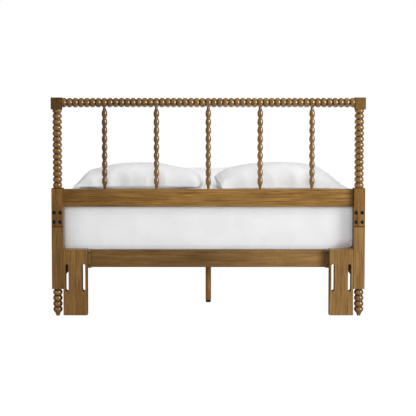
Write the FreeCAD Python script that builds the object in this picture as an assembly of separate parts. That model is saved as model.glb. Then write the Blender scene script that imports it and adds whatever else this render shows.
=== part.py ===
import FreeCAD, Part
import math
import os

# A queen-size spool-turned spindle bed, dressed with a mattress and two pillows.
# Millimetres, +Z up. The origin is on the floor under the middle of the bed.
# The back of the headboard faces -Y, and the foot end lies towards +Y.

Vector = FreeCAD.Vector
x_axis = Vector(1, 0, 0)
y_axis = Vector(0, 1, 0)
z_axis = Vector(0, 0, 1)

# Mattress and its room between the posts
mattress_width = 1524.0
mattress_length = 2030.0
mattress_border = 305.0
mattress_crown = 12.0
mattress_corner = 70.0
mattress_edge_draw = 9.0
mattress_edge_height = 26.0
mattress_waist_draw = 3.0
mattress_crown_inset = 150.0
mattress_swell = 18.0
mattress_side_gap = 3.0
mattress_end_gap = 8.0

# Posts, legs and their turnings
post_side = 60.0
edge_ease = 2.0
headboard_height = 1156.0
block_height = 63.0
turning_rise = 5.0
turning_side_count = 10
bead_pitch = 30.35
bead_diameter = 48.8
neck_diameter = 32.5
bead_ring_shares = (0.0, 0.22, 0.5, 0.78)
least_ring_share = 0.06

# Lap joint between upper post and leg, with its bolts
lap_bottom = 476.0
lap_height = 100.0
lap_groove_depth = 2.5
bolt_spacing_x = 31.0
bolt_spacing_z = 50.0
bolt_diameter = 8.0
bolt_length = 50.0
bolt_head_diameter = 15.6
bolt_head_height = 5.5
bolt_head_chamfer = 1.6
bolt_head_recess = 1.0
bolt_clearance = 0.2
head_clearance = 0.7

# Turned feet and the glides under them
foot_height = 146.0
foot_taper_height = 14.4
foot_bead_diameter = 52.6
foot_neck_diameter = 36.0
foot_taper_shares = ((0.0, 0.58), (0.45, 0.66), (0.82, 0.80))
foot_glide_diameter = 17.0
foot_glide_height = 4.0

# Top rail and spindles
top_rail_drop = 26.0
top_rail_tenon_diameter = 26.0
top_rail_tenon_length = 30.0
spindle_count = 5
spindle_spacing_bead_count = 9
spindle_bead_count = 9
spindle_bead_diameter = 29.5
spindle_neck_diameter = 17.5
spindle_pin_diameter = 14.0
spindle_bottom_taper = 19.0
spindle_top_taper = 14.0
spindle_top_pin = 18.0
spindle_bottom_pin = 20.0
pin_clearance = 0.1

# Upper cross rail of the headboard
headboard_rail_gap = 4.0
headboard_rail_height = 93.0
headboard_rail_thickness = 28.0

# Tenons of the flat rails and boards
tenon_length = 24.0
tenon_thickness = 14.0
tenon_shoulder = 15.0

# Slotted boards, the stretcher between them and its corner cleats
board_width = 132.0
board_bottom = 6.0
board_rise = 7.0
board_thickness = 50.0
slot_width = 16.6
slot_length = 145.0
slot_bottom = 132.5
slot_spacing = 88.0
slot_leg_inset = 19.5
stretcher_rise = 5.0
stretcher_height = 91.0
stretcher_thickness = 19.0
cleat_width = 20.0
cleat_depth = 18.0
cleat_drop = 1.5
cleat_screw_inset = 12.5
screw_diameter = 4.0
screw_length = 30.0
screw_head_diameter = 8.0
screw_head_height = 2.5
screw_clearance = 0.1

# Side rails, foot rail and foot posts
side_rail_inset = 22.0
side_rail_thickness = 30.0
side_rail_bottom = 175.0
side_rail_height = 190.0
foot_post_rise = 20.0
foot_rail_thickness = 28.0

# Hooked plates that join the side rails to the posts
plate_thickness = 3.0
plate_width = 22.0
plate_height = 130.0
hook_count = 2
hook_spacing = 70.0
hook_thickness = 4.0
hook_tongue = 4.0
hook_height = 16.0
hook_drop = 8.0
hook_clearance = 1.0

# Slats with their straps, on ledgers and a centre beam
slat_count = 14
slat_width = 68.0
slat_thickness = 20.0
slat_drop = 21.0
slat_end_gap = 3.0
slat_first_gap = 14.0
ledger_side = 25.0
strap_width = 25.0
strap_thickness = 1.2
strap_spread = 900.0
beam_width = 40.0
beam_height = 58.0
hanger_thickness = 3.0
hanger_reach = 45.0
hanger_flange = 22.0

# Centre legs and their screw-in glides
centre_leg_diameter = 31.0
centre_leg_dowel_diameter = 12.0
centre_leg_dowel_length = 25.0
centre_leg_setback = 420.0
centre_leg_count = 3
glide_diameter = 30.0
glide_height = 10.0
glide_chamfer = 4.0
glide_travel = 3.0
glide_stem_diameter = 8.0
glide_stem_length = 40.0
glide_running_clearance = 0.05

# Pillows
pillow_width = 716.0
pillow_depth = 470.0
pillow_rise = 116.0
pillow_sink = 22.0
pillow_base_inset = 70.0
pillow_crown_inset = 205.0
pillow_corner = 26.0
pillow_level_count = 7
pillow_left_inner = 34.0
pillow_right_inner = 42.0
pillow_head_gap = 12.0

# Shared small values
soft_corner_step_count = 4
seat_gap = 0.3
cut_overrun = 1.0

# Places worked out from the sizes above
bed_length = mattress_length + 2 * mattress_end_gap + 2 * post_side
inner_half_width = mattress_width / 2 + mattress_side_gap
post_x = inner_half_width + post_side / 2
head_back = -bed_length / 2
head_front = head_back + post_side
head_y = head_back + post_side / 2
foot_front = bed_length / 2 - post_side
foot_y = bed_length / 2 - post_side / 2
block_bottom = headboard_height - block_height
top_rail_axis_height = headboard_height - top_rail_drop
top_rail_underside = top_rail_axis_height - bead_diameter / 2
lap_top = lap_bottom + lap_height
headboard_rail_bottom = lap_top + headboard_rail_gap
headboard_rail_top = headboard_rail_bottom + headboard_rail_height
turning_bottom = headboard_rail_top + turning_rise
side_rail_inner = inner_half_width + side_rail_inset
side_rail_x = side_rail_inner + side_rail_thickness / 2
side_rail_top = side_rail_bottom + side_rail_height
foot_post_height = side_rail_top + foot_post_rise
slat_top = side_rail_top - slat_drop
slat_bottom = slat_top - slat_thickness
stretcher_back = head_back + board_thickness - stretcher_thickness
stretcher_front = head_back + board_thickness
stretcher_top = slat_top + stretcher_rise
stretcher_bottom = stretcher_top - stretcher_height
board_top = stretcher_top + board_rise
board_inner = inner_half_width - board_width
cleat_back = stretcher_back - cleat_depth
plate_z = side_rail_bottom + side_rail_height / 2
hook_pocket_depth = plate_thickness + hook_tongue + 2 * hook_clearance
beam_bottom = slat_bottom - beam_height
foot_rail_back = foot_y - foot_rail_thickness / 2
mattress_bottom = slat_top + strap_thickness + seat_gap
mattress_top = mattress_bottom + mattress_border + mattress_crown
spindle_spacing = spindle_spacing_bead_count * bead_pitch
spindle_low_neck = headboard_rail_top + spindle_bottom_taper
spindle_high_neck = top_rail_underside - spindle_top_taper
spindle_bead_pitch = (spindle_high_neck - spindle_low_neck) / spindle_bead_count


def block(low, high):
    """A square-edged block between two opposite corners."""
    size = high - low
    return Part.makeBox(size.x, size.y, size.z, low)


def runs_along(edge, axis):
    """True for a straight edge that runs along an axis."""
    return abs(edge.tangentAt(edge.FirstParameter).dot(axis)) > math.cos(math.pi / 4)


def eased(solid, axes=(x_axis, y_axis, z_axis)):
    """A block whose edges along the given axes are eased by a small chamfer."""
    edges = [edge for edge in solid.Edges if any(runs_along(edge, axis) for axis in axes)]
    return solid.makeChamfer(edge_ease, edges)


def ring(radius, height):
    """The corners of one many-sided ring of a turning, square to its axis."""
    corners = []
    for step in range(turning_side_count):
        angle = 2 * math.pi * step / turning_side_count
        corners.append(Vector(radius * math.cos(angle), radius * math.sin(angle), height))
    return corners


def facet(corners):
    """A flat face through its corners."""
    return Part.Face(Part.makePolygon(corners + corners[:1]))


def skinned(rings):
    """A solid of flat facets through rings of matching corners, closed by its two end rings."""
    facets = [facet(rings[0]), facet(rings[-1])]
    for lower, upper in zip(rings, rings[1:]):
        for step in range(len(lower)):
            facets.append(facet([lower[step - 1], lower[step], upper[step], upper[step - 1]]))
    return Part.makeSolid(Part.makeShell(facets))


def turning(stations):
    """A turned length along +Z through (height, radius) stations."""
    return skinned([ring(radius, height) for height, radius in stations])


def turned_along(stations, start, direction):
    """A turning that starts at a point and runs in a direction."""
    solid = turning(stations)
    solid.Placement = FreeCAD.Placement(start, FreeCAD.Rotation(z_axis, direction))
    return solid


def rod(radius, start, end):
    """A plain turned rod from one point to another."""
    along = end - start
    return turned_along([(0, radius), (along.Length, radius)], start, along)


def mirrored(solid):
    """The left-hand twin of a right-hand piece."""
    return solid.mirror(Vector(0, 0, 0), x_axis)


def beads(low, high, first_neck, pitch, bead_radius, neck_radius):
    """Stations of a row of round-arc beads; a bead that an end cuts stays a part bead."""
    half = pitch / 2
    rise = bead_radius - neck_radius
    arc = (half**2 + rise**2) / (2 * rise)
    margin = least_ring_share * pitch
    heights = [low, high]
    for count in range(math.floor((low - first_neck) / pitch), math.ceil((high - first_neck) / pitch)):
        for share in bead_ring_shares:
            height = first_neck + (count + share) * pitch
            if low + margin < height < high - margin:
                heights.append(height)
    stations = []
    for height in sorted(heights):
        offset = (height - first_neck) % pitch - half
        stations.append((height, bead_radius - arc + math.sqrt(arc**2 - offset**2)))
    return stations


def turned_foot():
    """A turned foot on the Z axis: a tapered toe, then beads up to the square leg."""
    toe_top = foot_glide_height + foot_taper_height
    neck_radius = foot_neck_diameter / 2
    stations = []
    for height_share, radius_share in foot_taper_shares:
        stations.append((foot_glide_height + height_share * foot_taper_height, radius_share * neck_radius))
    stations += beads(toe_top, foot_height, toe_top, bead_pitch, foot_bead_diameter / 2, neck_radius)
    return turning(stations)


def bolt_places():
    """Where the four lap bolts of the right-hand post stand, as points on its back face."""
    lap_z = lap_bottom + lap_height / 2
    places = []
    for across in (-bolt_spacing_x / 2, bolt_spacing_x / 2):
        for up in (-bolt_spacing_z / 2, bolt_spacing_z / 2):
            places.append(Vector(post_x + across, head_back, lap_z + up))
    return places


def bolt_hole(place):
    """A counterbored through hole for one lap bolt."""
    hole = rod(bolt_diameter / 2 + bolt_clearance, place, place + y_axis * (post_side + cut_overrun))
    seat = bolt_head_recess + bolt_head_height
    bore_start = place - y_axis * cut_overrun
    bore = rod(bolt_head_diameter / 2 + head_clearance, bore_start, place + y_axis * seat)
    return hole.fuse(bore)


def lap_bolt(place):
    """One bolt with a chamfered head, sunk a little below the post's back face."""
    head_radius = bolt_head_diameter / 2
    shank_radius = bolt_diameter / 2
    stations = [
        (bolt_head_recess, head_radius - bolt_head_chamfer),
        (bolt_head_recess + bolt_head_chamfer, head_radius),
        (bolt_head_recess + bolt_head_height, head_radius),
        (bolt_head_recess + bolt_head_height, shank_radius),
        (bolt_head_recess + bolt_head_height + bolt_length, shank_radius),
    ]
    return turned_along(stations, place, y_axis)


def lap_groove():
    """A fine V across the back of the right-hand post, along the line where it meets its leg."""
    side = inner_half_width - cut_overrun
    back = head_back - cut_overrun
    reach = lap_groove_depth + cut_overrun
    section = facet(
        [
            Vector(side, back, lap_bottom - reach),
            Vector(side, back, lap_bottom + reach),
            Vector(side, head_back + lap_groove_depth, lap_bottom),
        ]
    )
    return section.extrude(x_axis * (post_side + 2 * cut_overrun))


def upper_post():
    """The right-hand upper post: top block, beaded shaft and square with the back half of the lap."""
    half = post_side / 2
    top = eased(block(Vector(-half, -half, block_bottom), Vector(half, half, headboard_height)))
    square = eased(block(Vector(-half, -half, lap_bottom), Vector(half, half, turning_bottom)), [z_axis])
    shaft = turning(
        beads(turning_bottom, block_bottom, turning_bottom, bead_pitch, bead_diameter / 2, neck_diameter / 2)
    )
    post = square.fuse([shaft, top])
    post.translate(Vector(post_x, head_y, 0))
    lap = block(
        Vector(inner_half_width - cut_overrun, head_y, lap_bottom - cut_overrun),
        Vector(inner_half_width + post_side + cut_overrun, head_front + cut_overrun, lap_top),
    )
    socket_start = Vector(inner_half_width - cut_overrun, head_y, top_rail_axis_height)
    socket_end = Vector(inner_half_width + top_rail_tenon_length, head_y, top_rail_axis_height)
    socket = rod(top_rail_tenon_diameter / 2 + pin_clearance, socket_start, socket_end)
    cuts = [lap, socket, headboard_rail_tenon(), lap_groove()]
    cuts += [bolt_hole(place) for place in bolt_places()]
    return post.cut(cuts)


def leg():
    """The right-hand leg: the lap's front tongue, a square with the rail's catch, and a turned foot."""
    half = post_side / 2
    square = eased(block(Vector(-half, -half, foot_height), Vector(half, half, lap_bottom)), [z_axis])
    tongue = eased(block(Vector(-half, 0, lap_bottom), Vector(half, half, lap_top)), [z_axis])
    body = square.fuse([tongue, turned_foot()])
    body.translate(Vector(post_x, head_y, 0))
    cuts = [board_tenon(), catch_recess(head_front, 1), lap_groove()]
    cuts += [bolt_hole(place) for place in bolt_places()]
    return body.cut(cuts)


def headboard_rail_tenon():
    """The tenon on the right-hand end of the upper cross rail."""
    half = tenon_thickness / 2
    return block(
        Vector(inner_half_width, head_y - half, headboard_rail_bottom + tenon_shoulder),
        Vector(inner_half_width + tenon_length, head_y + half, headboard_rail_top - tenon_shoulder),
    )


def spindle_x():
    """The places of the spindles across the headboard, centred on it."""
    first = -spindle_spacing * (spindle_count - 1) / 2
    return [first + spindle_spacing * count for count in range(spindle_count)]


def headboard_rail():
    """The flat upper cross rail, with its tenons and the spindles' sockets."""
    half = headboard_rail_thickness / 2
    rail = eased(
        block(
            Vector(-inner_half_width, head_y - half, headboard_rail_bottom),
            Vector(inner_half_width, head_y + half, headboard_rail_top),
        ),
        [x_axis],
    )
    rail = rail.fuse([headboard_rail_tenon(), mirrored(headboard_rail_tenon())])
    sockets = []
    for place in spindle_x():
        start = Vector(place, head_y, headboard_rail_top - spindle_bottom_pin)
        end = Vector(place, head_y, headboard_rail_top + cut_overrun)
        sockets.append(rod(spindle_pin_diameter / 2 + pin_clearance, start, end))
    return rail.cut(sockets)


def top_rail():
    """The spool-turned top rail, one bead at its middle, with round tenons and spindle sockets."""
    reach = inner_half_width + top_rail_tenon_length
    tenon_radius = top_rail_tenon_diameter / 2
    stations = [(-reach, tenon_radius), (-inner_half_width, tenon_radius)]
    stations += beads(
        -inner_half_width, inner_half_width, bead_pitch / 2, bead_pitch, bead_diameter / 2, neck_diameter / 2
    )
    stations += [(inner_half_width, tenon_radius), (reach, tenon_radius)]
    rail = turned_along(stations, Vector(0, head_y, top_rail_axis_height), x_axis)
    sockets = []
    for place in spindle_x():
        start = Vector(place, head_y, top_rail_underside - cut_overrun)
        end = Vector(place, head_y, top_rail_underside + spindle_top_pin)
        sockets.append(rod(spindle_pin_diameter / 2 + pin_clearance, start, end))
    return rail.cut(sockets)


def spindle(place):
    """One beaded spindle with a slim neck and a round pin at each end."""
    low = spindle_low_neck
    pin_radius = spindle_pin_diameter / 2
    bead_radius = spindle_bead_diameter / 2
    neck_radius = spindle_neck_diameter / 2
    stations = [(headboard_rail_top - spindle_bottom_pin, pin_radius), (headboard_rail_top, pin_radius)]
    stations += beads(low, spindle_high_neck, low, spindle_bead_pitch, bead_radius, neck_radius)
    stations += [(top_rail_underside, pin_radius), (top_rail_underside + spindle_top_pin, pin_radius)]
    return turned_along(stations, Vector(place, head_y, 0), z_axis)


def board_tenon():
    """The long tenon that joins the right-hand slotted board to its leg."""
    middle = head_back + board_thickness / 2
    half = tenon_thickness / 2
    return block(
        Vector(inner_half_width, middle - half, foot_height + tenon_shoulder),
        Vector(inner_half_width + tenon_length, middle + half, board_top - tenon_shoulder),
    )


def upright_slot(place_x):
    """The cutter of one upright slot with round ends, right through the board."""
    radius = slot_width / 2
    back = head_back - cut_overrun
    low = slot_bottom + radius
    high = slot_bottom + slot_length - radius
    left_low = Vector(place_x - radius, back, low)
    left_high = Vector(place_x - radius, back, high)
    right_low = Vector(place_x + radius, back, low)
    right_high = Vector(place_x + radius, back, high)
    outline = Part.Wire(
        [
            Part.LineSegment(left_low, left_high).toShape(),
            Part.Arc(left_high, Vector(place_x, back, high + radius), right_high).toShape(),
            Part.LineSegment(right_high, right_low).toShape(),
            Part.Arc(right_low, Vector(place_x, back, low - radius), left_low).toShape(),
        ]
    )
    return Part.Face(outline).extrude(y_axis * (board_thickness + 2 * cut_overrun))


def slotted_board():
    """The right-hand slotted board, flush with the back of its leg."""
    board = eased(
        block(
            Vector(board_inner, head_back, board_bottom),
            Vector(inner_half_width, head_back + board_thickness, board_top),
        ),
        [z_axis],
    )
    outer_slot = inner_half_width - slot_leg_inset
    slots = [upright_slot(outer_slot), upright_slot(outer_slot - slot_spacing)]
    return board.fuse(board_tenon()).cut(slots)


def stretcher():
    """The flat stretcher between the slotted boards."""
    return block(
        Vector(-board_inner, stretcher_back, stretcher_bottom),
        Vector(board_inner, stretcher_front, stretcher_top),
    )


def cleat_screw_places():
    """Where the two screws of the right-hand cleat stand, on its back face."""
    middle = board_inner - cleat_width / 2
    low = stretcher_bottom + cleat_screw_inset
    high = stretcher_top - cleat_screw_inset
    return [Vector(middle, cleat_back, low), Vector(middle, cleat_back, high)]


def screw(place, clearance):
    """A flat-headed screw driven towards +Y, or the hole for it when given a clearance."""
    head_radius = screw_head_diameter / 2 + clearance
    shank_radius = screw_diameter / 2 + clearance
    stations = [
        (0, head_radius),
        (screw_head_height, head_radius),
        (screw_head_height, shank_radius),
        (screw_head_height + screw_length, shank_radius),
    ]
    return turned_along(stations, place, y_axis)


def screw_holes(solid):
    """A right-hand piece with the cleat's screw holes cut into it."""
    return solid.cut([screw(place, screw_clearance) for place in cleat_screw_places()])


def stretcher_cleat():
    """The right-hand corner cleat, against the stretcher's back and the slotted board's edge."""
    cleat = block(
        Vector(board_inner - cleat_width, cleat_back, stretcher_bottom - cleat_drop),
        Vector(board_inner, stretcher_back, stretcher_top),
    )
    return screw_holes(cleat)


def side_rail():
    """The right-hand side rail, with a recess for the hook plate in each end."""
    half = side_rail_thickness / 2
    rail = eased(
        block(
            Vector(side_rail_x - half, head_front, side_rail_bottom),
            Vector(side_rail_x + half, foot_front, side_rail_top),
        ),
        [y_axis],
    )
    return rail.cut([plate_at(head_front, 1), plate_at(foot_front, -1)])


def plate_at(face, inward):
    """A bare plate let into a face across the rail's end, going the inward way along Y."""
    far = face + inward * plate_thickness
    return block(
        Vector(side_rail_x - plate_width / 2, min(face, far), plate_z - plate_height / 2),
        Vector(side_rail_x + plate_width / 2, max(face, far), plate_z + plate_height / 2),
    )


def hook_heights():
    """The heights of the hooks' undersides along a plate."""
    first = plate_z - hook_spacing * (hook_count - 1) / 2
    return [first + hook_spacing * count for count in range(hook_count)]


def hook(face, outward, height):
    """One hook that reaches through the catch plate and drops behind it."""
    root = face
    behind = face + outward * (plate_thickness + hook_clearance)
    tip = behind + outward * hook_tongue
    profile = [
        (root, height),
        (root, height + hook_height),
        (tip, height + hook_height),
        (tip, height - hook_drop),
        (behind, height - hook_drop),
        (behind, height),
        (root, height),
    ]
    left = side_rail_x - hook_thickness / 2
    outline = Part.makePolygon([Vector(left, y, z) for y, z in profile])
    return Part.Face(outline).extrude(x_axis * hook_thickness)


def hook_plate(face, outward):
    """The plate in a rail's end with its two hooks, which reach the outward way along Y."""
    plate = plate_at(face, -outward)
    return plate.fuse([hook(face, outward, height) for height in hook_heights()])


def hook_room(face, inward, height, depth):
    """The room that one hook needs while it is put in and dropped, from a face inwards."""
    far = face + inward * depth
    half = hook_thickness / 2 + hook_clearance
    return block(
        Vector(side_rail_x - half, min(face, far), height - hook_drop - hook_clearance),
        Vector(side_rail_x + half, max(face, far), height + hook_height + hook_drop + hook_clearance),
    )


def catch_plate(face, inward):
    """The slotted plate let into a post, which takes a rail's hooks."""
    windows = []
    for height in hook_heights():
        room = hook_room(face, inward, height, plate_thickness)
        lip_top = height - hook_clearance
        windows.append(room.cut(lip_below(room, lip_top)))
    return plate_at(face, inward).cut(windows)


def lip_below(room, lip_top):
    """The lowest strip of a hook's room, which stays on the plate for the hook to hang on."""
    box = room.BoundBox
    return block(Vector(box.XMin, box.YMin, box.ZMin), Vector(box.XMax, box.YMax, lip_top))


def catch_recess(face, outward):
    """The recess in a post for a catch plate, with a pocket behind it for each hook."""
    pockets = [hook_room(face, -outward, height, hook_pocket_depth) for height in hook_heights()]
    return plate_at(face, -outward).fuse(pockets)


def foot_post():
    """The right-hand foot post, short and square, on the same turned foot."""
    half = post_side / 2
    square = eased(block(Vector(-half, -half, foot_height), Vector(half, half, foot_post_height)))
    post = square.fuse(turned_foot())
    post.translate(Vector(post_x, foot_y, 0))
    return post.cut([catch_recess(foot_front, -1), foot_rail_tenon()])


def foot_rail_tenon():
    """The tenon on the right-hand end of the foot rail."""
    half = tenon_thickness / 2
    return block(
        Vector(inner_half_width, foot_y - half, side_rail_bottom + tenon_shoulder),
        Vector(inner_half_width + tenon_length, foot_y + half, side_rail_top - tenon_shoulder),
    )


def foot_rail():
    """The low rail across the foot end, as high as the side rails."""
    rail = eased(
        block(
            Vector(-inner_half_width, foot_rail_back, side_rail_bottom),
            Vector(inner_half_width, foot_rail_back + foot_rail_thickness, side_rail_top),
        ),
        [x_axis],
    )
    return rail.fuse([foot_rail_tenon(), mirrored(foot_rail_tenon())])


def slat_ledger():
    """The right-hand ledger along the side rail, which carries the slats' ends."""
    return block(
        Vector(side_rail_inner - ledger_side, head_front, slat_bottom - ledger_side),
        Vector(side_rail_inner, foot_front, slat_bottom),
    )


def slat_y():
    """The middle of each slat along the bed, evenly spaced between the two end rails."""
    first = head_front + slat_first_gap + slat_width / 2
    last = foot_front - slat_first_gap - slat_width / 2
    step = (last - first) / (slat_count - 1)
    return [first + step * count for count in range(slat_count)]


def slat(place):
    """One cross slat, from ledger to ledger over the centre beam."""
    half = side_rail_inner - slat_end_gap
    board = block(
        Vector(-half, place - slat_width / 2, slat_bottom), Vector(half, place + slat_width / 2, slat_top)
    )
    return eased(board, [x_axis])


def slat_strap():
    """The right-hand strap stapled along the slats, which keeps their spacing."""
    middle = strap_spread / 2
    places = slat_y()
    return block(
        Vector(middle - strap_width / 2, places[0] - slat_width / 2, slat_top),
        Vector(middle + strap_width / 2, places[-1] + slat_width / 2, slat_top + strap_thickness),
    )


def centre_beam():
    """The beam under the slats, with a socket for each centre leg's dowel."""
    half = beam_width / 2
    beam = block(
        Vector(-half, stretcher_front + hanger_thickness, beam_bottom),
        Vector(half, foot_rail_back - hanger_thickness, slat_bottom),
    )
    return beam.cut([dowel_socket(place) for place in centre_leg_y()])


def beam_hanger(face, outward):
    """A bent steel hanger on an end rail: a flanged back plate and a cradle for the beam's end."""
    half = beam_width / 2
    wall = half + hanger_thickness
    back = face + outward * hanger_thickness
    reach = face + outward * hanger_reach
    bottom = beam_bottom - hanger_thickness
    plate = block(
        Vector(-wall - hanger_flange, min(face, back), bottom),
        Vector(wall + hanger_flange, max(face, back), slat_bottom),
    )
    cradle = block(Vector(-wall, min(back, reach), bottom), Vector(wall, max(back, reach), slat_bottom))
    room_end = reach + outward * cut_overrun
    room = block(
        Vector(-half, min(back, room_end), beam_bottom),
        Vector(half, max(back, room_end), slat_bottom + cut_overrun),
    )
    return plate.fuse(cradle.cut(room))


def centre_leg_y():
    """The centre legs along the bed: one near the head, one near the foot, the rest between."""
    first = head_back + centre_leg_setback
    step = -2 * first / (centre_leg_count - 1)
    return [first + step * count for count in range(centre_leg_count)]


def dowel_socket(place):
    """The socket in the beam for a centre leg's dowel."""
    start = Vector(0, place, beam_bottom)
    end = Vector(0, place, beam_bottom + centre_leg_dowel_length)
    return rod(centre_leg_dowel_diameter / 2 + pin_clearance, start, end)


def centre_leg(place):
    """A round support leg under the beam, with a dowel on top and a bore for its glide's stem."""
    bottom = glide_height + glide_travel
    leg_radius = centre_leg_diameter / 2
    dowel_radius = centre_leg_dowel_diameter / 2
    stations = [
        (bottom, leg_radius),
        (beam_bottom, leg_radius),
        (beam_bottom, dowel_radius),
        (beam_bottom + centre_leg_dowel_length, dowel_radius),
    ]
    bore_radius = glide_stem_diameter / 2 + glide_running_clearance
    bore_end = glide_height + glide_stem_length + glide_travel + cut_overrun
    bore = rod(bore_radius, Vector(0, place, bottom), Vector(0, place, bore_end))
    return turned_along(stations, Vector(0, place, 0), z_axis).cut(bore)


def centre_glide(place):
    """A screw-in glide: a chamfered round pad on a stem that runs in the centre leg."""
    pad_radius = glide_diameter / 2
    stem_radius = glide_stem_diameter / 2
    stations = [
        (0, pad_radius - glide_chamfer),
        (glide_chamfer, pad_radius),
        (glide_height, pad_radius),
        (glide_height, stem_radius),
        (glide_height + glide_stem_length, stem_radius),
    ]
    return turned_along(stations, Vector(0, place, 0), z_axis)


def foot_glides():
    """The four round glides under the turned feet."""
    pads = []
    for across in (-post_x, post_x):
        for along in (head_y, foot_y):
            place = Vector(across, along, 0)
            pads.append(rod(foot_glide_diameter / 2, place, place + z_axis * foot_glide_height))
    return Part.makeCompound(pads)


def rounded_ring(half_x, half_y, corner, height):
    """The corners of a rectangle with rounded corners at a height, centred on the Z axis."""
    corners = []
    for quarter, (sign_x, sign_y) in enumerate(((1, 1), (-1, 1), (-1, -1), (1, -1))):
        for step in range(soft_corner_step_count + 1):
            angle = math.pi / 2 * (quarter + step / soft_corner_step_count)
            across = sign_x * (half_x - corner) + corner * math.cos(angle)
            along = sign_y * (half_y - corner) + corner * math.sin(angle)
            corners.append(Vector(across, along, height))
    return corners


def mattress():
    """The mattress: filled out at its sides, drawn in at its waist and edges, under a crowned top."""
    border_top = mattress_bottom + mattress_border
    sections = (
        (mattress_edge_draw, mattress_bottom),
        (0, mattress_bottom + mattress_edge_height),
        (mattress_waist_draw, mattress_bottom + mattress_border / 2),
        (0, border_top - mattress_edge_height),
        (mattress_edge_draw, border_top),
        (mattress_crown_inset, mattress_top),
    )
    rings = []
    for inset, height in sections:
        half_x = mattress_width / 2 + mattress_swell - inset
        half_y = mattress_length / 2 - inset
        rings.append(rounded_ring(half_x, half_y, mattress_corner, height))
    return skinned(rings)


def pillow_ring(inset, height):
    """The corners of a pillow's outline at a height, drawn in by an inset."""
    return rounded_ring(pillow_width / 2 - inset, pillow_depth / 2 - inset, pillow_corner, height)


def pillow(middle_x):
    """A filled pillow: a thin seam all round, a full crown above it and a shallow belly below."""
    seam = mattress_top + seat_gap + pillow_sink
    rings = [pillow_ring(pillow_base_inset, seam - pillow_sink)]
    for level in range(pillow_level_count + 1):
        angle = math.pi / 2 * level / pillow_level_count
        inset = pillow_crown_inset * (1 - math.cos(angle))
        rings.append(pillow_ring(inset, seam + pillow_rise * math.sin(angle)))
    body = skinned(rings)
    middle_y = head_front + mattress_end_gap + pillow_head_gap + pillow_depth / 2
    body.translate(Vector(middle_x, middle_y, 0))
    return body


def save(name, shape):
    """Write one node's solids to its own file."""
    shape.exportStep("parts/" + name + ".step")
    print(name, len(shape.Solids), shape.isValid())


def save_pair(name, right_hand):
    """Write a right-hand piece and its left-hand twin."""
    save(name + "_right", right_hand)
    save(name + "_left", mirrored(right_hand))


def both_sides(right_hand):
    """Right-hand pieces and their left-hand twins, as one group of separate solids."""
    return Part.makeCompound(right_hand + [mirrored(piece) for piece in right_hand])


os.makedirs("parts", exist_ok=True)

save_pair("upper_post", upper_post())
save_pair("leg", leg())
save_pair("slotted_board", slotted_board())
save_pair("stretcher_cleat", stretcher_cleat())
save_pair("side_rail", side_rail())
save_pair("slat_ledger", slat_ledger())
save_pair("slat_strap", slat_strap())
save_pair("foot_post", foot_post())
save("top_rail", top_rail())
save("headboard_rail", headboard_rail())
for number, place in enumerate(spindle_x(), 1):
    save("spindle_" + str(number), spindle(place))
save("stretcher", mirrored(screw_holes(mirrored(screw_holes(stretcher())))))
save("foot_rail", foot_rail())
save("lap_bolts", both_sides([lap_bolt(place) for place in bolt_places()]))
save("cleat_screws", both_sides([screw(place, 0) for place in cleat_screw_places()]))
save("rail_hook_plates", both_sides([hook_plate(head_front, -1), hook_plate(foot_front, 1)]))
save("rail_catch_plates", both_sides([catch_plate(head_front, -1), catch_plate(foot_front, 1)]))
for number, place in enumerate(slat_y(), 1):
    save("slat_" + str(number), slat(place))
save("centre_beam", centre_beam())
save("beam_hanger_head", beam_hanger(stretcher_front, 1))
save("beam_hanger_foot", beam_hanger(foot_rail_back, -1))
for number, place in enumerate(centre_leg_y(), 1):
    save("centre_leg_" + str(number), centre_leg(place))
    save("centre_glide_" + str(number), centre_glide(place))
save("foot_glides", foot_glides())
save("mattress", mattress())
save("pillow_left", pillow(-pillow_left_inner - pillow_width / 2))
save("pillow_right", pillow(pillow_right_inner + pillow_width / 2))
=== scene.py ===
# %% [markdown]
# # A spool-turned spindle bed
# The frame, the mattress and the pillows come from a CAD model in metres. This lesson dresses
# that model: round turnings in place of the many-sided ones, stained wood, dark bolts, a sewn
# mattress and two filled pillows. The CAD pieces are never moved or changed. Where one needs
# another form, a new surface or a changed copy is shown in its place.

# %% Load the frame
import math

import bpy
import numpy as np
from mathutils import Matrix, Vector


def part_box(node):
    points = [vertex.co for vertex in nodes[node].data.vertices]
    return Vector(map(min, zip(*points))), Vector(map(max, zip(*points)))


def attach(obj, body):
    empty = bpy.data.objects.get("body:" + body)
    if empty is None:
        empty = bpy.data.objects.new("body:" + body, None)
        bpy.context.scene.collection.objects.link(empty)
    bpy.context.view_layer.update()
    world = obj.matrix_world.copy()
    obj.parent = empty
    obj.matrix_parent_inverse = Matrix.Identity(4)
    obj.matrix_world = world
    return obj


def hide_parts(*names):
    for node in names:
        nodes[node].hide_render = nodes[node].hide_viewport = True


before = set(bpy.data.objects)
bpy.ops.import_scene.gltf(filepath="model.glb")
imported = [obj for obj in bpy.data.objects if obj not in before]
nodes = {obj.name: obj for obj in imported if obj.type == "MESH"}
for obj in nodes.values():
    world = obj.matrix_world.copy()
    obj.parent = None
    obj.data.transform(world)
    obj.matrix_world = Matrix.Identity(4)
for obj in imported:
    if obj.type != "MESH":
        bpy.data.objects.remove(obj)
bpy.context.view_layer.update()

scene = bpy.context.scene

# %% [markdown]
# ## Camera
# The bed is seen straight from behind its headboard, from about the height of the top rail. A long
# lens far away keeps the two posts almost upright. The small tilt points the lens at the bed, and
# a shift does the rest of the framing, as an architecture lens would.

# %% Camera
camera_place = (0.0, -6.917, 1.160)
camera_tilt = math.radians(3.0)
camera_data = bpy.data.cameras.new("camera")
camera_data.lens = 96.41
camera_data.sensor_width = 36.0
camera_data.shift_x = -0.0007
camera_data.shift_y = -0.1273
camera = bpy.data.objects.new("camera", camera_data)
camera.location = camera_place
camera.rotation_euler = (math.pi / 2 - camera_tilt, 0, 0)
scene.collection.objects.link(camera)
scene.camera = camera
print("camera at", camera_place)

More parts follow.
